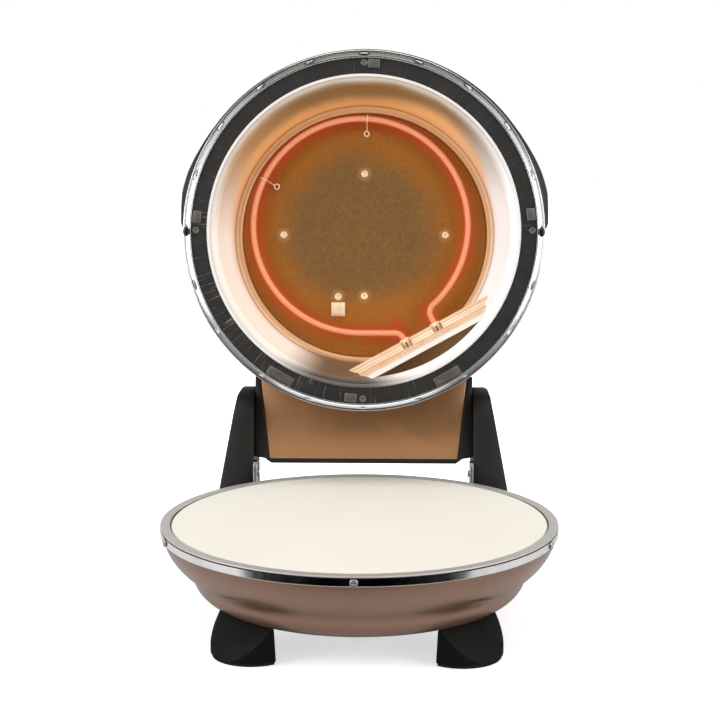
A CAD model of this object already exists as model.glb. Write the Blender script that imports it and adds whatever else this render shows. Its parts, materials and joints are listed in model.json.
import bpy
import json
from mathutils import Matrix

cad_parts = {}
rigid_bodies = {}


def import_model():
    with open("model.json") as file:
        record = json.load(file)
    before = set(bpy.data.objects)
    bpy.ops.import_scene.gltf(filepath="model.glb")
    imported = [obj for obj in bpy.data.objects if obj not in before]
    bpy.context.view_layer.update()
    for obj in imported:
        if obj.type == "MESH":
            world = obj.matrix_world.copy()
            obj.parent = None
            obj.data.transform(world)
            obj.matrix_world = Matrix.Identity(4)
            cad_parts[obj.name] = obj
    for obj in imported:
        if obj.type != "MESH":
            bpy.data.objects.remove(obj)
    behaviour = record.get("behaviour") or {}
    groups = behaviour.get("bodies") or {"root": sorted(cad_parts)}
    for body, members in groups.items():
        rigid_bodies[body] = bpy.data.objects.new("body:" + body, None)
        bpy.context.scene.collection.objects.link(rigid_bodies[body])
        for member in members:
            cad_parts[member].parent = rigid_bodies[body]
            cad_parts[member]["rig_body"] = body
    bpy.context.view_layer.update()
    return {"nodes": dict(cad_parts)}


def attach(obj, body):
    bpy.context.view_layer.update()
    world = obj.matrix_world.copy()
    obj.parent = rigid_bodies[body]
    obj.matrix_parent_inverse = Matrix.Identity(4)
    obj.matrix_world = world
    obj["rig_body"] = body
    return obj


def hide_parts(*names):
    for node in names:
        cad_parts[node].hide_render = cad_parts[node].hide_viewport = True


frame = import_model()

import json
import math

import bmesh
import bpy
from mathutils import Matrix, Vector

NODES = frame["nodes"]
SCENE = bpy.context.scene

# The lid's own frame: shut, with its rim plane at z = 0 and its centre over the stone. The pivot's height
# is PIVOT_Z over the table and PIVOT_LID over the lid's rim plane. All lengths are in metres.
PIVOT_Y, PIVOT_Z, PIVOT_LID = 0.1715, 0.141, 0.052
LID_OPEN = math.radians(99.5)
LID_C, LID_S = math.cos(LID_OPEN), math.sin(LID_OPEN)
LID_MATRIX = (
    Matrix.Translation((0, PIVOT_Y, PIVOT_Z))
    @ Matrix.Rotation(-LID_OPEN, 4, "X")
    @ Matrix.Translation((0, -PIVOT_Y, -PIVOT_LID))
)
TO_LID = (0, PIVOT_Y - PIVOT_Y * LID_C + PIVOT_Z * LID_S, PIVOT_LID - PIVOT_Y * LID_S - PIVOT_Z * LID_C)

# A shallow dent pressed in the front of the bowl over each foot
DENT_X, DENT_Z = 0.096, 0.0535

# The lid's folded lip: its crimps, and the stud at each of them as a radius, half length and half width
CRIMPS = 20
CRIMP_STEP = 2 * math.pi / CRIMPS
STUD_R, STUD_LONG, STUD_DEEP = 0.1615, 0.0052, 0.0015

# Grooves and rolls of the lip: radius and the tone there
LIP_TONES = (
    (0.1578, 215), (0.1586, 252), (0.1592, 240), (0.1599, 205), (0.1607, 172), (0.1616, 158), (0.1624, 190),
    (0.1630, 120), (0.1635, 58), (0.1639, 214), (0.1644, 248), (0.1648, 150), (0.1652, 84),
)

# The upper element's loop, the height of its tube, and the reflector's floor with its bead and screws
ELEMENT_X, ELEMENT_Y, ELEMENT_R = -0.0035, -0.0075, 0.1
TUBE_Z, TUBE_R = 0.034, 0.00325
FLOOR_Z = 0.047
BEAD_IN, BEAD_OUT = 0.1145, 0.1205
FLOOR_SCREWS = ((0, 0.0575), (0, -0.0575), (0.076, 0), (-0.076, 0), (-0.0245, 0.0581))

# The terminal wall: its bearing, its distance from the lid's axis, its steps beyond that, its pocket, and
# where the element's two legs pass it
WALL_TURN = math.radians(61.3)
WALL_U = 0.105
WALL_STEPS = (0.0029, 0.0054, 0.0088, 0.0108, 0.0128)
POCKET_U = WALL_U + 0.0178
LEGS = (0.0143, -0.0175)


def rgb(r, g, b):
    """A colour written as it shows on screen, in 0 to 255, as linear values."""
    return [(c / 255 / 12.92 if c <= 10 else ((c / 255 + 0.055) / 1.055) ** 2.4) for c in (r, g, b)] + [1]


def knot(tree, kind, **props):
    node = tree.nodes.new(kind)
    for key, value in props.items():
        setattr(node, key, value)
    return node


def span(node, low, high, to_low=0.0, to_high=1.0):
    for key, number in (("From Min", low), ("From Max", high), ("To Min", to_low), ("To Max", to_high)):
        node.inputs[key].default_value = number


class Surface:
    """A node material in the making."""

    def __init__(self, name, colour, rough=0.5, metal=0.0, lid=False, **sockets):
        self.material = bpy.data.materials.new(name)
        self.material.use_nodes = True
        self.tree = self.material.node_tree
        self.tree.nodes.clear()
        self.shader = self.add("ShaderNodeBsdfPrincipled")
        self.join(self.shader.outputs[0], self.add("ShaderNodeOutputMaterial").inputs[0])
        self.set(**{"Base Color": colour, "Roughness": rough, "Metallic": metal, **sockets})
        coord = self.add("ShaderNodeTexCoord").outputs["Object"]
        if lid:
            mapping = self.add("ShaderNodeMapping")
            mapping.inputs["Rotation"].default_value = (LID_OPEN, 0, 0)
            mapping.inputs["Location"].default_value = TO_LID
            self.join(coord, mapping.inputs["Vector"])
            coord = mapping.outputs[0]
        self.place = coord
        self.normal = None

    def add(self, kind, **props):
        return knot(self.tree, kind, **props)

    def join(self, a, b):
        self.tree.links.new(a, b)

    def set(self, **values):
        for key, value in values.items():
            self.shader.inputs[key].default_value = value

    def put(self, socket, value):
        if isinstance(value, bpy.types.NodeSocket):
            self.join(value, socket)
        else:
            socket.default_value = value

    def math(self, kind, a, b=0.0):
        node = self.add("ShaderNodeMath", operation=kind)
        for socket, value in zip(node.inputs, (a, b)):
            self.put(socket, value)
        return node.outputs[0]

    def noise(self, scale, detail=4.0, rough=0.55, place=None, stretch=None, warp=0.0):
        node = self.add("ShaderNodeTexNoise")
        node.inputs["Scale"].default_value = scale
        node.inputs["Detail"].default_value = detail
        node.inputs["Roughness"].default_value = rough
        node.inputs["Distortion"].default_value = warp
        place = place or self.place
        if stretch:
            mapping = self.add("ShaderNodeMapping")
            mapping.inputs["Scale"].default_value = stretch
            self.join(place, mapping.inputs["Vector"])
            place = mapping.outputs[0]
        self.join(place, node.inputs["Vector"])
        return node.outputs["Fac"]

    def spread(self, value, low, high, to_low=0.0, to_high=1.0, smooth=False):
        node = self.add("ShaderNodeMapRange", interpolation_type="SMOOTHSTEP" if smooth else "LINEAR")
        span(node, low, high, to_low, to_high)
        self.join(value, node.inputs["Value"])
        return node.outputs[0]

    def blend(self, factor, a, b):
        node = self.add("ShaderNodeMix", data_type="RGBA")
        self.put(node.inputs["Factor"], factor)
        self.put(node.inputs["A"], a)
        self.put(node.inputs["B"], b)
        return node.outputs["Result"]

    def axes(self):
        node = self.add("ShaderNodeSeparateXYZ")
        self.join(self.place, node.inputs[0])
        return node.outputs[0], node.outputs[1], node.outputs[2]

    def radius(self, cx=0.0, cy=0.0):
        x, y, _ = self.axes()
        dx = self.math("SUBTRACT", x, cx)
        dy = self.math("SUBTRACT", y, cy)
        return self.math("SQRT", self.math("ADD", self.math("MULTIPLY", dx, dx), self.math("MULTIPLY", dy, dy)))

    def angle(self):
        x, y, _ = self.axes()
        return self.math("ARCTAN2", y, x)

    def polar(self, radial, around):
        """A place whose axes are the radius and the angle, so that noise on it runs in rings."""
        node = self.add("ShaderNodeCombineXYZ")
        self.join(self.math("MULTIPLY", self.radius(), radial), node.inputs[0])
        self.join(self.math("MULTIPLY", self.angle(), around), node.inputs[1])
        return node.outputs[0]

    def bump(self, height, distance, strength):
        node = self.add("ShaderNodeBump")
        node.inputs["Distance"].default_value = distance
        node.inputs["Strength"].default_value = strength
        self.join(height, node.inputs["Height"])
        if self.normal:
            self.join(self.normal, node.inputs["Normal"])
        self.normal = node.outputs[0]
        self.join(self.normal, self.shader.inputs["Normal"])

    def paint(self, value):
        self.join(value, self.shader.inputs["Base Color"])

    def gloss(self, value):
        self.join(value, self.shader.inputs["Roughness"])


def shade(colour, factor):
    return [min(1.0, c * factor) for c in colour[:3]] + [1]


def copper(name, colour, lid=False, shadow=None):
    """Satin copper-brown enamel over pressed sheet, with fine flake and soft unevenness.

    It darkens from the first to the second of shadow's heights.
    """
    s = Surface(name, colour, rough=0.34, metal=0.72, lid=lid, **{"Coat Weight": 0.25, "Coat Roughness": 0.22})
    flake = s.noise(2600, 2, 0.5)
    cloud = s.noise(9, 3, 0.5)
    base = s.blend(s.spread(cloud, 0.3, 0.7), shade(colour, 0.93), shade(colour, 1.06))
    tone = s.blend(s.spread(flake, 0.35, 0.75, 0.0, 0.35), base, shade(colour, 1.3))
    if shadow:
        _, _, z = s.axes()
        tone = s.blend(s.spread(z, *shadow, 0.0, 0.55, smooth=True), tone, shade(colour, 0.5))
    s.paint(tone)
    s.gloss(s.spread(s.noise(30, 4, 0.6), 0.3, 0.7, 0.31, 0.4))
    if not lid:
        x, y, z = s.axes()
        off = s.math("ABSOLUTE", s.math("SUBTRACT", s.math("ABSOLUTE", x), DENT_X))
        across = s.spread(off, 0.0, 0.012, 0, 1, True)
        height = s.spread(s.math("ABSOLUTE", s.math("SUBTRACT", z, DENT_Z)), 0.0, 0.0045, 0, 1, True)
        behind = s.spread(y, -0.1, -0.08)
        s.bump(s.math("MAXIMUM", s.math("MAXIMUM", across, height), behind), 0.003, 0.6)
    s.bump(s.noise(14, 2, 0.5), 0.0006, 0.3)
    s.bump(flake, 0.00003, 0.4)
    return s.material


def plastic(name, colour, rough=0.5, grain=1400, depth=0.00006, lid=False, specular=0.3, **sockets):
    """Moulded black plastic with a fine spark-eroded texture and slight polish on worn places."""
    s = Surface(name, colour, rough=rough, lid=lid, **{"Specular IOR Level": specular, **sockets})
    s.paint(s.blend(s.spread(s.noise(18, 4, 0.6), 0.3, 0.7), shade(colour, 0.85), shade(colour, 1.2)))
    s.gloss(s.spread(s.noise(55, 5, 0.65), 0.3, 0.7, rough - 0.06, rough + 0.07))
    s.bump(s.noise(grain, 3, 0.6), depth, 0.6)
    return s.material


def bright(name, colour, rough=0.28, lid=False, stretch=(1, 1, 1), grain=900, metal=1.0):
    """Plain bright steel with drawn grain and slight tarnish."""
    s = Surface(name, colour, rough=rough, metal=metal, lid=lid)
    s.paint(s.blend(s.spread(s.noise(60, 4, 0.6), 0.35, 0.75), colour, shade(colour, 0.72)))
    s.gloss(s.spread(s.noise(grain, 3, 0.6, stretch=stretch), 0.3, 0.7, rough - 0.08, rough + 0.12))
    s.bump(s.noise(grain, 2, 0.5, stretch=stretch), 0.00002, 0.4)
    return s.material


def warm_steel(name, colour):
    """Small steel parts inside the lit lid: pale, with a warm cast and slight heat tint."""
    s = Surface(name, colour, rough=0.4, metal=0.2, lid=True)
    tint = s.spread(s.noise(160, 4, 0.6), 0.35, 0.7)
    s.paint(s.blend(tint, colour, shade(colour, 0.8)))
    s.gloss(s.spread(s.noise(900, 3, 0.6), 0.3, 0.7, 0.26, 0.44))
    s.bump(s.noise(1200, 2, 0.5), 0.00002, 0.4)
    return s.material


def chrome_band(name, lid=False):
    """Polished rolled band: slight waves, fine rub marks round it and small pressing wrinkles."""
    s = Surface(name, rgb(214, 214, 216), rough=0.1, metal=1.0, lid=lid)
    rings = s.noise(1.0, 5, 0.7, place=s.polar(1800, 3))
    s.gloss(s.spread(rings, 0.3, 0.75, 0.07, 0.2))
    s.paint(s.blend(s.spread(s.noise(40, 4, 0.6), 0.45, 0.8), rgb(218, 218, 220), rgb(186, 184, 182)))
    s.bump(s.noise(1.0, 2, 0.5, place=s.polar(60, 9)), 0.0003, 0.12)
    return s.material


def lip_chrome(name):
    """The lid's folded lip: dark fold lines, a light outer roll and a grey slope with a bright inner edge."""
    s = Surface(name, rgb(150, 150, 150), rough=0.2, metal=1.0, lid=True)
    ramp = s.add("ShaderNodeValToRGB")
    low, high = LIP_TONES[0][0], LIP_TONES[-1][0]
    s.join(s.spread(s.radius(), low, high), ramp.inputs[0])
    stops = ramp.color_ramp.elements
    for index, (radius, tone) in enumerate(LIP_TONES):
        place = (radius - low) / (high - low)
        stop = stops[index] if index < 2 else stops.new(place)
        stop.position = place
        stop.color = rgb(tone, tone, tone - 1)
    rub = s.noise(1.0, 4, 0.65, place=s.polar(900, 5))
    worn = s.blend(s.math("MULTIPLY", s.spread(rub, 0.4, 0.75), 0.4), ramp.outputs["Color"], rgb(120, 118, 116))
    x, y, _ = s.axes()
    fine = s.spread(s.noise(1.0, 3, 0.6, place=s.polar(1500, 2)), 0.35, 0.65)
    streaks = s.blend(fine, rgb(160, 160, 164), rgb(236, 236, 240))
    worn = s.blend(s.spread(s.math("ABSOLUTE", x), 0.09, 0.15, 0.0, 0.7, smooth=True), worn, streaks)
    worn = s.blend(s.spread(y, 0.09, 0.15, 0.0, 0.5, smooth=True), worn, rgb(84, 84, 86))
    # A bright stud with a dark rim at each crimp of the fold
    turned = s.math("ADD", s.angle(), 2.5 * math.pi + CRIMP_STEP / 2)
    phase = s.math("SUBTRACT", s.math("FLOORED_MODULO", turned, CRIMP_STEP), CRIMP_STEP / 2)
    long = s.math("MULTIPLY", phase, STUD_R / STUD_LONG)
    deep = s.math("MULTIPLY", s.math("SUBTRACT", s.radius(), STUD_R), 1 / STUD_DEEP)
    stud = s.math("SQRT", s.math("ADD", s.math("MULTIPLY", long, long), s.math("MULTIPLY", deep, deep)))
    upper = s.spread(y, -0.01, -0.09)
    outline = s.math("MULTIPLY", s.spread(stud, 0.9, 1.1, 0.8, 0.0), s.spread(y, 0.11, 0.06))
    worn = s.blend(outline, worn, rgb(58, 56, 54))
    worn = s.blend(s.math("MULTIPLY", s.spread(stud, 0.6, 0.75, 1.0, 0.0), upper), worn, rgb(246, 246, 246))
    s.paint(worn)
    s.gloss(s.spread(rub, 0.3, 0.75, 0.14, 0.3))
    s.bump(s.noise(60, 2, 0.5), 0.00004, 0.3)
    return s.material


def ring_steel(name, colour, rough=0.3, lid=False, metal=1.0):
    """Steel brushed in circles."""
    s = Surface(name, colour, rough=rough, metal=metal, lid=lid, Anisotropic=0.5)
    rings = s.noise(1.0, 6, 0.75, place=s.polar(2600, 2))
    s.gloss(s.spread(rings, 0.3, 0.7, rough - 0.08, rough + 0.14))
    s.paint(s.blend(s.spread(rings, 0.3, 0.7), shade(colour, 0.86), shade(colour, 1.08)))
    s.bump(rings, 0.00003, 0.5)
    return s.material


def baking_stone(name):
    """Pale unglazed stone with fine grit, pores and faint baked-on shadows."""
    s = Surface(name, rgb(236, 232, 221), rough=0.86, **{"Specular IOR Level": 0.25})
    grit = s.noise(1700, 3, 0.6)
    blotch = s.noise(9, 3, 0.5)
    base = s.blend(s.spread(blotch, 0.3, 0.7), rgb(234, 230, 219), rgb(230, 225, 213))
    s.paint(s.blend(s.spread(grit, 0.6, 0.78, 0.0, 0.35), base, rgb(212, 205, 188)))
    s.bump(s.noise(900, 4, 0.65), 0.0001, 0.4)
    s.bump(s.spread(s.noise(520, 2, 0.5), 0.28, 0.34), 0.0002, 0.4)
    return s.material


def wall_axes(s):
    """Distances across and along the terminal wall, from the lid's axis."""
    x, y, _ = s.axes()
    turn_x, turn_y = math.cos(WALL_TURN), math.sin(WALL_TURN)
    across = s.math("ADD", s.math("MULTIPLY", x, turn_x), s.math("MULTIPLY", y, turn_y))
    along = s.math("SUBTRACT", s.math("MULTIPLY", y, turn_x), s.math("MULTIPLY", x, turn_y))
    return across, along


def reflector(name):
    """Semi-bright aluminised sheet, browned by heat and strongest beside the element."""
    s = Surface(name, rgb(226, 206, 180), rough=0.45, metal=0.25, lid=True)
    radius = s.radius()
    reach = s.radius(ELEMENT_X, ELEMENT_Y)
    x, y, _ = s.axes()
    mottle = s.noise(260, 7, 0.75, warp=0.3)
    grain = s.noise(2200, 3, 0.6)
    cloud = s.spread(s.noise(18, 3, 0.5), 0.2, 0.8, -0.01, 0.01)
    centre = s.blend(s.spread(mottle, 0.35, 0.68), rgb(142, 102, 52), rgb(112, 78, 38))
    warm = s.blend(s.spread(mottle, 0.35, 0.7), rgb(180, 110, 28), rgb(166, 98, 24))
    floor = s.blend(s.spread(s.math("ADD", reach, cloud), 0.05, 0.092, smooth=True), centre, warm)
    floor = s.blend(s.spread(grain, 0.5, 0.8, 0.0, 0.5), floor, rgb(96, 64, 34))
    # Heat glow on the floor along the element, wide and soft
    across, along = wall_axes(s)
    ring = s.math("ABSOLUTE", s.math("SUBTRACT", reach, ELEMENT_R))
    ring = s.math("ADD", ring, s.spread(across, 0.079, 0.084, 0.0, 0.02))
    straight = s.math("ABSOLUTE", s.math("SUBTRACT", y, ELEMENT_Y + ELEMENT_R))
    beyond = s.math("ABSOLUTE", s.math("SUBTRACT", x, 0.0145))
    ring = s.math("MINIMUM", ring, s.math("ADD", straight, s.spread(beyond, 0.018, 0.022, 0.0, 0.02)))
    for leg in LEGS:
        off = s.math("ABSOLUTE", s.math("SUBTRACT", along, leg))
        ring = s.math("MINIMUM", ring, s.math("ADD", off, s.spread(across, 0.084, 0.079, 0.0, 0.02)))
    glow = s.spread(ring, 0.002, 0.0135, 0.85, 0.0, smooth=True)
    floor = s.blend(glow, floor, rgb(194, 82, 30))
    # Each floor screw lights the sheet round it a little
    for px, py in FLOOR_SCREWS:
        near = s.spread(s.radius(px, py), 0.0032, 0.0085, 0.55, 0.0, smooth=True)
        floor = s.blend(near, floor, rgb(206, 152, 92))
    bead = s.spread(radius, BEAD_IN, BEAD_IN + 0.0012, smooth=True)
    crease = s.math("ABSOLUTE", s.math("SUBTRACT", radius, BEAD_IN - 0.0007))
    floor = s.blend(s.spread(crease, 0.0003, 0.0011, 0.6, 0.0), floor, rgb(112, 62, 22))
    floor = s.blend(s.math("MULTIPLY", bead, 0.85), floor, rgb(252, 206, 152))
    # The wall is cream at the sides, tan to brown over the top and smoke-dark at the very bottom
    above = s.math("ADD", s.math("MULTIPLY", y, -0.99), s.math("MULTIPLY", x, -0.139))
    top = s.spread(above, 0.0, 0.1, smooth=True)
    right = s.spread(x, 0.02, 0.1)
    below = s.math("ABSOLUTE", s.math("SUBTRACT", s.angle(), 1.71))
    smoke = s.spread(below, 0.12, 0.46, 1.0, 0.0, smooth=True)
    rim_smoke = s.spread(below, 0.15, 0.55, 1.0, 0.0, smooth=True)
    cream = s.blend(right, rgb(246, 236, 222), rgb(250, 252, 252))
    cream = s.blend(s.spread(s.noise(90, 5, 0.6), 0.35, 0.7, 0.0, 0.4), cream, rgb(244, 236, 226))
    brown = s.blend(s.spread(x, -0.115, -0.06), rgb(188, 146, 98), rgb(146, 114, 72))
    low = s.blend(smoke, s.blend(top, rgb(240, 196, 148), rgb(246, 186, 116)), rgb(146, 104, 60))
    middle = s.blend(smoke, s.blend(top, cream, brown), rgb(110, 88, 64))
    high = s.blend(top, s.blend(right, rgb(222, 214, 208), rgb(252, 252, 254)), rgb(208, 196, 184))
    high = s.blend(rim_smoke, high, rgb(34, 30, 26))
    rim = s.blend(rim_smoke, rgb(230, 226, 222), rgb(96, 92, 88))
    lift = s.math("ADD", radius, s.spread(s.noise(24, 3, 0.5), 0.25, 0.75, -0.001, 0.001))
    early = s.math("ADD", s.spread(y, 0.0, 0.08, 0.003, 0.0052), s.spread(x, -0.02, 0.12, 0.0, 0.002))
    late = s.spread(x, 0.0, 0.07, 0.0, -0.0035)
    early = s.math("MULTIPLY", early, s.math("SUBTRACT", 1.0, top))
    shift = s.math("ADD", early, s.math("MULTIPLY", late, top))
    wall = s.blend(s.spread(s.math("ADD", lift, shift), 0.122, 0.1305, smooth=True), low, middle)
    wall = s.blend(s.spread(lift, 0.1345, 0.14, smooth=True), wall, high)
    seam = s.spread(s.math("ABSOLUTE", s.math("SUBTRACT", radius, 0.1404)), 0.0002, 0.0006, 0.4, 0.0)
    wall = s.blend(seam, wall, rgb(150, 132, 114))
    wall = s.blend(s.spread(radius, 0.1408, 0.1413), wall, rim)
    shadow = s.math("ABSOLUTE", s.math("SUBTRACT", radius, BEAD_OUT + 0.0003))
    wall = s.blend(s.spread(shadow, 0.0002, 0.0012, 0.55, 0.0), wall, rgb(150, 88, 42))
    on_wall = s.spread(radius, 0.1165, BEAD_OUT, smooth=True)
    tone = s.blend(on_wall, floor, wall)
    s.paint(tone)
    s.join(s.spread(on_wall, 0, 1, 0.25, 0.06), s.shader.inputs["Metallic"])
    # Light thrown back by the lit element
    thrown = s.blend(s.math("MULTIPLY", right, on_wall), tone, rgb(206, 234, 255))
    s.join(thrown, s.shader.inputs["Emission Color"])
    lit = s.math("MULTIPLY", on_wall, s.math("SUBTRACT", 1.0, rim_smoke))
    s.join(s.spread(lit, 0, 1, 0.0, 0.035), s.shader.inputs["Emission Strength"])
    s.gloss(s.spread(mottle, 0.3, 0.75, 0.4, 0.55))
    s.bump(s.noise(1.0, 4, 0.7, place=s.polar(900, 2)), 0.00005, 0.3)
    s.bump(mottle, 0.00012, 0.25)
    return s.material


def terminal_sheet(name):
    """The pressed wall beside the terminals, peach over its steps, with a browned pocket behind it."""
    s = Surface(name, rgb(240, 214, 184), rough=0.4, metal=0.3, lid=True)
    across, along = wall_axes(s)
    sheen = s.noise(70, 4, 0.6)
    peach = s.blend(s.spread(sheen, 0.3, 0.7), rgb(250, 226, 198), rgb(236, 196, 154))
    for step in WALL_STEPS:
        line = s.math("ABSOLUTE", s.math("SUBTRACT", across, WALL_U + step))
        peach = s.blend(s.spread(line, 0.0001, 0.0005, 0.75, 0.0), peach, rgb(176, 112, 62))
    lit = s.spread(across, POCKET_U - 0.0052, POCKET_U - 0.0044, smooth=True)
    peach = s.blend(lit, peach, rgb(255, 250, 242))
    brown = s.blend(s.spread(along, -0.06, 0.06, smooth=True), rgb(126, 88, 46), rgb(84, 52, 26))
    brown = s.blend(s.spread(s.noise(900, 3, 0.6), 0.5, 0.8, 0.0, 0.4), brown, rgb(60, 40, 22))
    inside = s.spread(across, POCKET_U, POCKET_U + 0.0006)
    edge = s.spread(s.radius(), 0.1375, 0.1392, 1.0, 0.0, smooth=True)
    s.paint(s.blend(inside, peach, s.blend(edge, rgb(250, 244, 236), brown)))
    s.gloss(s.spread(sheen, 0.3, 0.7, 0.32, 0.5))
    s.bump(s.noise(900, 2, 0.5), 0.00002, 0.4)
    return s.material


def cold_element(name):
    """Oxidised steel tube."""
    s = Surface(name, rgb(100, 80, 70), rough=0.6, metal=0.5)
    scale = s.noise(420, 4, 0.65)
    s.paint(s.blend(s.spread(scale, 0.35, 0.7), rgb(84, 66, 56), rgb(126, 104, 90)))
    s.bump(scale, 0.00012, 0.6)
    return s.material


def lit_element(name):
    """A tube in use: salmon along its middle and deep orange round its sides, over faint scale."""
    s = Surface(name, rgb(214, 120, 84), rough=0.7, lid=True, **{"Specular IOR Level": 0.1})
    scale = s.noise(420, 4, 0.65)
    facing = s.add("ShaderNodeLayerWeight")
    facing.inputs["Blend"].default_value = 0.5
    side = s.spread(facing.outputs["Facing"], 0.04, 0.5, smooth=True)
    core = s.blend(s.spread(scale, 0.3, 0.75), rgb(222, 150, 114), rgb(212, 136, 100))
    tone = s.blend(side, core, rgb(188, 84, 48))
    s.paint(tone)
    s.join(tone, s.shader.inputs["Emission Color"])
    s.set(**{"Emission Strength": 0.21})
    s.bump(scale, 0.00006, 0.4)
    return s.material


def face_enamel(name):
    """Matte black heat-proof enamel, with rub marks across it that are thickest low on one side."""
    s = Surface(name, rgb(40, 38, 36), rough=0.5, lid=True, **{"Specular IOR Level": 0.35})
    rub = s.noise(1.0, 3, 0.6, place=s.polar(26, 110))
    x, y, _ = s.axes()
    worn = s.spread(s.math("SUBTRACT", y, x), 0.02, 0.19, 0.12, 0.75)
    marks = s.math("MULTIPLY", s.spread(rub, 0.6, 0.68), worn)
    base = s.blend(s.spread(s.noise(30, 4, 0.6), 0.3, 0.7), rgb(34, 32, 30), rgb(44, 41, 38))
    s.paint(s.blend(marks, base, rgb(150, 146, 140)))
    s.gloss(s.spread(rub, 0.3, 0.7, 0.42, 0.6))
    s.bump(s.noise(900, 3, 0.6), 0.00005, 0.5)
    return s.material


def fibre(name, colour):
    """Matted mineral wool."""
    s = Surface(name, colour, rough=0.95, lid=True)
    mat = s.spread(s.noise(260, 6, 0.7, warp=1.5), 0.3, 0.7)
    s.paint(s.blend(mat, shade(colour, 0.8), shade(colour, 1.08)))
    s.bump(s.noise(320, 5, 0.7, warp=2.0), 0.0008, 0.7)
    return s.material


def lens(name, colour):
    """Tinted clear plastic of a lamp."""
    s = Surface(name, colour, rough=0.12, lid=True,
                **{"Transmission Weight": 0.55, "IOR": 1.49, "Coat Weight": 0.4})
    s.paint(s.blend(s.spread(s.noise(300, 3, 0.5), 0.3, 0.7), shade(colour, 0.85), shade(colour, 1.2)))
    s.bump(s.noise(600, 2, 0.5), 0.00004, 0.4)
    return s.material


BLACK = rgb(30, 29, 27)
# Each look, and the nodes that wear it
MATERIALS = {
    "shell": (copper("shell_copper", rgb(142, 111, 93), shadow=(0.06, 0.078)), "base_shell"),
    "lid_shell": (copper("lid_copper", rgb(142, 111, 93), lid=True), "lid_shell"),
    "panel": (copper("panel_copper", rgb(178, 130, 90), lid=True), "hinge_box_panel"),
    "band": (chrome_band("band_chrome"), "base_rim_band"),
    "lid_band": (chrome_band("lid_band_chrome", lid=True), "lid_rim_band"),
    "trim": (ring_steel("trim_brushed", rgb(198, 196, 192), 0.4, metal=0.5), "stone_trim_ring"),
    "gasket": (plastic("gasket_rubber", rgb(30, 30, 30), 0.75, 700, 0.0001), "rim_gasket foot_pads"),
    "stone": (baking_stone("stone_unglazed"), "pizza_stone"),
    "pan": (ring_steel("pan_steel", rgb(180, 178, 174), 0.36), "inner_pan"),
    "reflector": (reflector("reflector_sheet"), "lid_reflector"),
    "wall": (terminal_sheet("terminal_sheet"), "terminal_wall"),
    "hot": (lit_element("element_lit"), "upper_heating_element"),
    "cold": (cold_element("element_dark"), "lower_heating_element"),
    "ceramic": (
        plastic("ceramic_white", rgb(222, 216, 202), 0.6, 500, 0.0001),
        "lower_terminals terminal_block thermostat_switch timer_switch",
    ),
    "clips": (
        bright("clip_steel", rgb(196, 194, 190)),
        "lower_element_clips thermal_cutout hinge_plate reflector_spacers",
    ),
    "heated": (
        warm_steel("heated_steel", rgb(255, 226, 190)),
        "upper_element_clips sensor_plate reflector_screws",
    ),
    "ferrule": (
        plastic("ferrule_pale", rgb(250, 214, 184), 0.5, 900, 0.00003, lid=True,
                **{"Emission Color": rgb(250, 190, 140), "Emission Strength": 0.3}),
        "upper_terminals",
    ),
    "tabs": (
        bright("tab_steel", rgb(112, 109, 104), 0.34, lid=True, grain=1600, metal=0.5),
        "rim_clips rim_plates rim_screws",
    ),
    "zinc": (
        bright("zinc_steel", rgb(168, 170, 174), 0.36, stretch=(1, 1, 0.1)),
        "bottom_cover left_stop right_stop left_hinge_pin right_hinge_pin",
    ),
    "screws": (
        bright("screw_steel", rgb(186, 184, 180), 0.3, grain=1600),
        "cover_screws foot_screws column_screws stop_screws handle_screws band_screws",
    ),
    "dark_screws": (bright("screw_black", rgb(62, 60, 58), 0.34, lid=True, grain=1600), "lid_band_screws"),
    "black": (
        plastic("case_black", BLACK, 0.48),
        "left_column right_column left_column_cover right_column_cover",
    ),
    "foot": (plastic("foot_black", rgb(12, 12, 12), 0.55, specular=0.12), "left_foot right_foot cord_gland"),
    "lid_black": (plastic("lid_black", BLACK, 0.46, lid=True), "lid_fascia control_housing hinge_box"),
    "gloss": (
        plastic("gloss_black", rgb(34, 33, 32), 0.3, 2400, 0.00003, lid=True),
        "thermostat_knob timer_knob lid_handle",
    ),
    "enamel": (face_enamel("face_enamel"), "lid_face_ring"),
    "cable": (plastic("cable_black", rgb(38, 38, 38), 0.6, 900, 0.00005), "hinge_cable"),
    "wool": (fibre("blanket_wool", rgb(214, 208, 192)), "insulation_blanket"),
    "brass": (bright("bush_brass", rgb(190, 150, 84), 0.3, lid=True), "hinge_bushes"),
    "red": (lens("lamp_red", rgb(196, 44, 30)), "power_lamp"),
    "green": (lens("lamp_green", rgb(52, 150, 66)), "ready_lamp"),
}

for material, names in MATERIALS.values():
    for name in names.split():
        slots = NODES[name].data.materials
        if not slots:
            slots.append(material)
        for index in range(len(slots)):
            slots[index] = material


# Detailed pieces

# Before edges are rounded: points this close are one, faces this flat to each other are one, and edges
# steeper than the last angle are the sharp ones
MERGE = 2e-5
FLAT_ANGLE = math.radians(0.8)
SHARP_ANGLE = math.radians(32)


def piece(name, mesh, material, body):
    obj = bpy.data.objects.new(name, mesh)
    SCENE.collection.objects.link(obj)
    mesh.materials.clear()
    mesh.materials.append(material)
    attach(obj, body)
    return obj


def smooth(mesh, angle):
    """Smooth shading, kept sharp at edges steeper than angle in degrees."""
    for polygon in mesh.polygons:
        polygon.use_smooth = True
    mesh.set_sharp_from_angle(angle=math.radians(angle))


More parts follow.
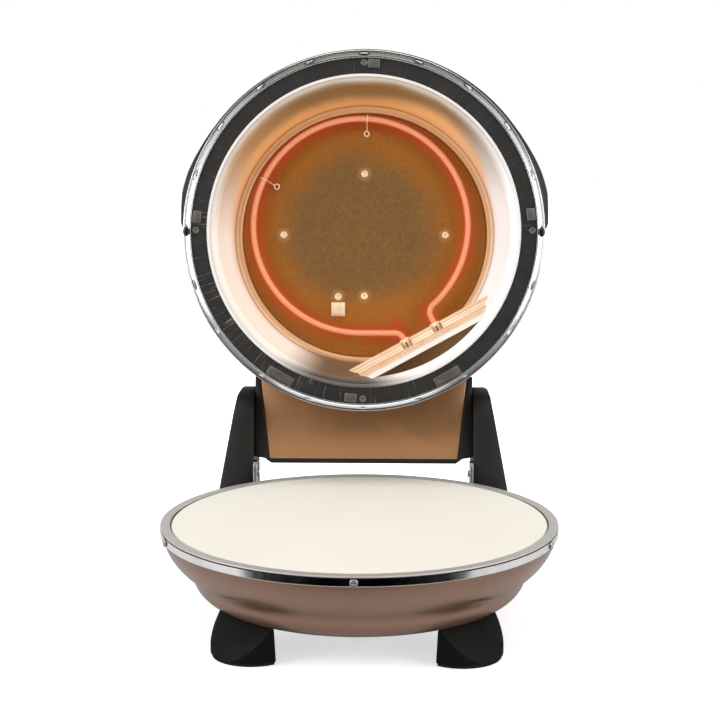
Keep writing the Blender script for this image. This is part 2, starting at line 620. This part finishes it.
def softened(name, width, edge=None):
    """The node again with its sharp edges rounded, as a moulding or a pressing has them; edge paints them."""
    source = NODES[name]
    bm = bmesh.new()
    bm.from_mesh(source.data)
    bmesh.ops.remove_doubles(bm, verts=bm.verts, dist=MERGE)
    bmesh.ops.dissolve_limit(bm, angle_limit=FLAT_ANGLE, verts=bm.verts, edges=bm.edges)
    sharp = [e for e in bm.edges if len(e.link_faces) == 2 and e.calc_face_angle(0) > SHARP_ANGLE]
    bmesh.ops.bevel(bm, geom=sharp, offset=width, segments=2, profile=0.5, affect="EDGES",
                    offset_type="OFFSET", clamp_overlap=False, material=1 if edge else -1)
    mesh = bpy.data.meshes.new(name + "_soft")
    bm.to_mesh(mesh)
    bm.free()
    smooth(mesh, 40)
    obj = piece(name + "_soft", mesh, source.data.materials[0], source["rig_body"])
    if edge:
        mesh.materials.append(edge)
    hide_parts(name)


def lathe(name, profile, steps, material, body, shape):
    """A closed profile of (radius, height) turned round the lid's own axis; shape moves each point."""
    count = len(profile)
    verts = []
    for i in range(steps):
        a = 2 * math.pi * i / steps
        for r, z in profile:
            r, z = shape(r, z, a)
            verts.append(LID_MATRIX @ Vector((r * math.cos(a), r * math.sin(a), z)))
    faces = [
        (i * count + j, i * count + (j + 1) % count,
         (i + 1) % steps * count + (j + 1) % count, (i + 1) % steps * count + j)
        for i in range(steps) for j in range(count)
    ]
    mesh = bpy.data.meshes.new(name)
    mesh.from_pydata(verts, [], faces)
    mesh.validate()
    bm = bmesh.new()
    bm.from_mesh(mesh)
    bmesh.ops.recalc_face_normals(bm, faces=bm.faces)
    bm.to_mesh(mesh)
    bm.free()
    smooth(mesh, 50)
    return piece(name, mesh, material, body)


def crimped(r, z, a):
    """Small dents where the lid's band is folded over, evenly round it."""
    off = ((a - math.pi / 2 + CRIMP_STEP / 2) % CRIMP_STEP - CRIMP_STEP / 2) * r
    z += 0.0006 * math.exp(-((off / 0.0034) ** 2)) * math.exp(-(((r - 0.1618) / 0.001) ** 2))
    return r, z


# The lip's closed outline in millimetres, as (radius, height in the lid): outer roll, groove and inner fold
LIP = [
    (165.0, 8.0), (165.0, 4.0), (165.0, 1.5), (164.9, 0.9), (164.6, 0.4), (164.2, 0.15), (163.8, 0.2),
    (163.5, 0.55), (163.3, 0.75), (163.1, 0.55), (162.8, 0.25), (162.5, 0.2), (162.1, 0.35), (161.7, 0.7),
    (161.4, 1.05), (161.0, 1.3), (160.4, 1.75), (159.8, 2.25), (159.3, 2.6), (158.9, 2.75), (158.6, 2.6),
    (158.3, 2.55), (158.05, 2.75), (158.0, 3.2), (158.0, 4.15), (159.0, 4.15), (163.4, 2.3), (163.4, 8.0),
]
lip_profile = [(r / 1000, z / 1000) for r, z in LIP]
lip = lathe("lid_band_lip", lip_profile, 1080, lip_chrome("lip_chrome"), "lid", crimped)
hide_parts("lid_rim_band")

for name, width in (
    ("left_column", 0.0009), ("right_column", 0.0009), ("left_foot", 0.0009), ("right_foot", 0.0009),
    ("hinge_box", 0.0007), ("hinge_box_panel", 0.0005), ("control_housing", 0.0009), ("lid_fascia", 0.0008),
    ("left_stop", 0.0004), ("right_stop", 0.0004), ("thermostat_knob", 0.0005), ("timer_knob", 0.0005),
):
    softened(name, width)

bright_edge = bright("edge_bright", rgb(240, 238, 234), 0.34, lid=True, metal=0.05)
warm_edge = warm_steel("edge_warm", rgb(255, 240, 214))
for name, width, edge in (
    ("rim_clips", 0.0006, bright_edge), ("rim_plates", 0.0006, bright_edge),
    ("rim_screws", 0.0007, bright_edge), ("reflector_screws", 0.0006, warm_edge),
    ("sensor_plate", 0.0005, warm_edge), ("band_screws", 0.0006, bright_edge),
):
    softened(name, width, edge)


def tube(name, path, radius, material, body, closed=False, sides=8):
    """A round wire along a path given in the lid's frame."""
    verts, faces = [], []
    count = len(path)
    for i, point in enumerate(path):
        before = path[i - 1] if closed or i else point
        after = path[(i + 1) % count] if closed or i < count - 1 else point
        way = (Vector(after) - Vector(before)).normalized()
        side = way.orthogonal().normalized() if abs(way.z) > 0.9 else way.cross(Vector((0, 0, 1))).normalized()
        up = side.cross(way)
        for k in range(sides):
            a = 2 * math.pi * k / sides
            verts.append(LID_MATRIX @ (Vector(point) + radius * (math.cos(a) * side + math.sin(a) * up)))
    for i in range(count if closed else count - 1):
        for k in range(sides):
            a, b = i * sides + k, i * sides + (k + 1) % sides
            c, d = (i + 1) % count * sides + (k + 1) % sides, (i + 1) % count * sides + k
            faces.append((a, b, c, d))
    if not closed:
        faces.append(tuple(range(sides))[::-1])
        faces.append(tuple(range((count - 1) * sides, count * sides)))
    mesh = bpy.data.meshes.new(name)
    mesh.from_pydata(verts, [], faces)
    mesh.validate()
    smooth(mesh, 60)
    return piece(name, mesh, material, body)


# The lit element is held by two wires, each hooked round it and looped under a floor eyelet
WIRE_R = 0.00055
EYE_R, EYE_WIRE_R, EYE_REACH = 0.0023, 0.0008, 0.088
hooks = []
for turn in (-86.6, -154.4):
    a = math.radians(turn)
    out = Vector((math.cos(a), math.sin(a), 0))
    centre = Vector((ELEMENT_X, ELEMENT_Y, 0))
    across = Vector((-out.y, out.x, 0))
    eye = centre + EYE_REACH * out + Vector((0, 0, FLOOR_Z - 0.0009))
    loop = [eye + EYE_R * (math.cos(t) * out + math.sin(t) * across)
            for t in [2 * math.pi * k / 20 for k in range(20)]]
    name = f"clip_eyelet_{len(hooks)}"
    hooks.append(tube(name, loop, EYE_WIRE_R, MATERIALS["heated"][0], "lid", closed=True))
    bend = TUBE_R + WIRE_R
    core = centre + ELEMENT_R * out
    wire = [eye + EYE_R * out, eye + 0.0045 * out + Vector((0, 0, -0.003))]
    wire += [core + Vector((0, 0, TUBE_Z)) + bend * (math.cos(t) * out - math.sin(t) * Vector((0, 0, 1)))
             for t in [math.radians(200 - 20 * k) for k in range(14)]]
    hooks.append(tube(f"clip_wire_{len(hooks)}", wire, WIRE_R, MATERIALS["heated"][0], "lid"))
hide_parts("upper_element_clips")

# A dark, flattened screw head sits on the lip at each side, with its half sizes given
LIP_SCREW = Matrix.Diagonal((0.0031, 0.0046, 0.0015, 1))
for name, x in (("lip_screw_left", -0.1618), ("lip_screw_right", 0.1618)):
    bm = bmesh.new()
    spot = LID_MATRIX @ Matrix.Translation((x, 0.0014, 0.0009)) @ LIP_SCREW
    bmesh.ops.create_uvsphere(bm, u_segments=28, v_segments=14, radius=1.0, matrix=spot)
    mesh = bpy.data.meshes.new(name)
    bm.to_mesh(mesh)
    bm.free()
    smooth(mesh, 60)
    piece(name, mesh, MATERIALS["dark_screws"][0], "lid")

# The sloping control face that carries the two dials, and a dial's height over it
PANEL_TILT = math.radians(51.7)
FACE_Y, FACE_Z = -0.15826, 0.0665
KNOB_X = 0.036
KNOB_TOP = 0.011
PANEL = LID_MATRIX @ Matrix.Translation((0, FACE_Y, FACE_Z)) @ Matrix.Rotation(PANEL_TILT, 4, "X")


def slab(bm, matrix, size):
    """One small block with its edges eased."""
    made = bmesh.ops.create_cube(bm, size=1.0, matrix=matrix @ Matrix.Diagonal((*size, 1)))
    edges = {e for v in made["verts"] for e in v.link_edges}
    bmesh.ops.bevel(bm, geom=list(edges), offset=min(size) * 0.25, segments=2, profile=0.5, affect="EDGES")


def printed(name, blocks, material, body):
    bm = bmesh.new()
    for matrix, size in blocks:
        slab(bm, matrix, size)
    mesh = bpy.data.meshes.new(name)
    bm.to_mesh(mesh)
    bm.free()
    obj = piece(name, mesh, material, body)
    return obj


# A slot in each ferrule
wall_frame = LID_MATRIX @ Matrix.Rotation(WALL_TURN, 4, "Z")
cuts = [(wall_frame @ Matrix.Translation((WALL_U + 0.0055, leg, TUBE_Z - 0.0046)), (0.0062, 0.0013, 0.0006))
        for leg in LEGS]
slot_black = plastic("slot_black", rgb(34, 24, 18), 0.7, lid=True)
printed("ferrule_slots", cuts, slot_black, "lid")

# Scales and pointers of the two dials
ink = plastic("scale_white", rgb(226, 224, 218), 0.5, 1800, 0.00002, lid=True)
for side, sweep, marks, dial in ((1, 270, 10, "thermostat"), (-1, 300, 16, "timer")):
    hub = PANEL @ Matrix.Translation((side * KNOB_X, 0, 0))
    blocks = []
    for k in range(marks):
        a = math.radians(90 + sweep / 2 - sweep * k / (marks - 1))
        big = k % 3 == 0
        long = 0.0026 if big else 0.0016
        spot = hub @ Matrix.Rotation(a, 4, "Z") @ Matrix.Translation((0.0158 + long / 2, 0, 0.0001))
        blocks.append((spot, (long, 0.0007 if big else 0.0005, 0.0003)))
    printed(f"{dial}_scale", blocks, ink, "lid")
    pointer = hub @ Matrix.Translation((0, 0.0077, KNOB_TOP))
    printed(f"{dial}_pointer", [(pointer, (0.0012, 0.0056, 0.0004))], ink, f"{dial}_dial")


# Stage: the camera that was fitted to the photograph, three soft lights and a white floor
CAMERA_DOWN, CAMERA_LEFT = 8.72, 1.415

camera_data = bpy.data.cameras.new("camera")
camera_data.lens = 75
camera_data.sensor_width = 36
camera = bpy.data.objects.new("camera", camera_data)
SCENE.collection.objects.link(camera)
camera.location = (0.0306, -1.2174, 0.4088)
camera.rotation_euler = (math.radians(90 - CAMERA_DOWN), 0, math.radians(CAMERA_LEFT))
SCENE.camera = camera
SCENE.view_settings.view_transform = "Standard"


def area(name, place, aim, size, power, colour=(1, 1, 1)):
    data = bpy.data.lights.new(name, "AREA")
    data.shape = "RECTANGLE"
    data.size, data.size_y = size
    data.energy = power
    data.color = colour
    lamp = bpy.data.objects.new(name, data)
    SCENE.collection.objects.link(lamp)
    lamp.location = place
    lamp.rotation_euler = (Vector(aim) - Vector(place)).to_track_quat("-Z", "Y").to_euler()


area("left_softbox", (-1.5, -0.7, 0.75), (0, 0, 0.2), (1.1, 1.3), 18)
area("right_softbox", (1.5, -0.7, 0.75), (0, 0, 0.2), (1.1, 1.3), 16.5)
area("top_softbox", (0, -0.2, 1.9), (0, 0, 0.1), (1.4, 1.0), 13)

world = bpy.data.worlds.new("studio")
SCENE.world = world
world.use_nodes = True
wt = world.node_tree
wt.nodes.clear()


def link(tree, *pairs):
    for source, target in pairs:
        tree.links.new(source, target)


w_out = knot(wt, "ShaderNodeOutputWorld")
w_back = knot(wt, "ShaderNodeBackground")
w_seen = knot(wt, "ShaderNodeBackground")
w_mix = knot(wt, "ShaderNodeMixShader")
w_path = knot(wt, "ShaderNodeLightPath")
w_way = knot(wt, "ShaderNodeTexCoord")
w_axes = knot(wt, "ShaderNodeSeparateXYZ")
w_front = knot(wt, "ShaderNodeMapRange", interpolation_type="SMOOTHSTEP")
w_tone = knot(wt, "ShaderNodeMix", data_type="RGBA")
w_seen.inputs["Color"].default_value = (1, 1, 1, 1)
# The room beyond the camera is dark, as in a studio, so polished metal shows dark and light lines
span(w_front, -0.97, -0.72)
w_tone.inputs["A"].default_value = (0.012, 0.012, 0.012, 1)
w_tone.inputs["B"].default_value = (0.5, 0.5, 0.5, 1)
link(
    wt,
    (w_way.outputs["Generated"], w_axes.inputs[0]),
    (w_axes.outputs[1], w_front.inputs["Value"]),
    (w_front.outputs[0], w_tone.inputs["Factor"]),
    (w_tone.outputs["Result"], w_back.inputs["Color"]),
    (w_path.outputs["Is Camera Ray"], w_mix.inputs[0]),
    (w_back.outputs[0], w_mix.inputs[1]),
    (w_seen.outputs[0], w_mix.inputs[2]),
    (w_mix.outputs[0], w_out.inputs[0]),
)

floor_mesh = bpy.data.meshes.new("floor")
floor_mesh.from_pydata([(-6, -6, 0), (6, -6, 0), (6, 9, 0), (-6, 9, 0)], [], [(0, 1, 2, 3)])
floor = bpy.data.objects.new("floor", floor_mesh)
SCENE.collection.objects.link(floor)
floor_look = bpy.data.materials.new("floor")
floor_look.use_nodes = True
ft = floor_look.node_tree
ft.nodes.clear()
f_out = knot(ft, "ShaderNodeOutputMaterial")
f_add = knot(ft, "ShaderNodeAddShader")
f_diffuse = knot(ft, "ShaderNodeBsdfDiffuse")
f_glow = knot(ft, "ShaderNodeEmission")
f_path = knot(ft, "ShaderNodeLightPath")
f_place = knot(ft, "ShaderNodeTexCoord")
f_length = knot(ft, "ShaderNodeVectorMath", operation="LENGTH")
f_far = knot(ft, "ShaderNodeMapRange", interpolation_type="SMOOTHSTEP")
f_scale = knot(ft, "ShaderNodeMath", operation="MULTIPLY")
span(f_far, 0.2, 0.9, 0.62, 1.0)
# In reflections the floor in front of the part is dark, as past the edge of a white table
f_axes = knot(ft, "ShaderNodeSeparateXYZ")
f_front = knot(ft, "ShaderNodeMapRange", interpolation_type="SMOOTHSTEP")
f_wide = knot(ft, "ShaderNodeMapRange", interpolation_type="SMOOTHSTEP")
f_side = knot(ft, "ShaderNodeMath", operation="ABSOLUTE")
f_zone = knot(ft, "ShaderNodeMath", operation="MULTIPLY")
f_dark = knot(ft, "ShaderNodeMath", operation="MULTIPLY")
f_tone = knot(ft, "ShaderNodeMix", data_type="RGBA")
span(f_front, -0.235, -0.275)
span(f_wide, 0.42, 0.34)
f_tone.inputs["A"].default_value = (0.82, 0.82, 0.82, 1)
f_tone.inputs["B"].default_value = (0.0, 0.0, 0.0, 1)
link(
    ft,
    (f_place.outputs["Object"], f_axes.inputs[0]),
    (f_axes.outputs[1], f_front.inputs["Value"]),
    (f_axes.outputs[0], f_side.inputs[0]),
    (f_side.outputs[0], f_wide.inputs["Value"]),
    (f_front.outputs[0], f_zone.inputs[0]),
    (f_wide.outputs[0], f_zone.inputs[1]),
    (f_zone.outputs[0], f_dark.inputs[0]),
    (f_path.outputs["Is Glossy Ray"], f_dark.inputs[1]),
    (f_dark.outputs[0], f_tone.inputs["Factor"]),
    (f_tone.outputs["Result"], f_diffuse.inputs["Color"]),
    (f_place.outputs["Object"], f_length.inputs[0]),
    (f_length.outputs["Value"], f_far.inputs["Value"]),
    (f_path.outputs["Is Camera Ray"], f_scale.inputs[0]),
    (f_far.outputs[0], f_scale.inputs[1]),
    (f_scale.outputs[0], f_glow.inputs["Strength"]),
    (f_diffuse.outputs[0], f_add.inputs[0]),
    (f_glow.outputs[0], f_add.inputs[1]),
    (f_add.outputs[0], f_out.inputs[0]),
)
floor_mesh.materials.append(floor_look)
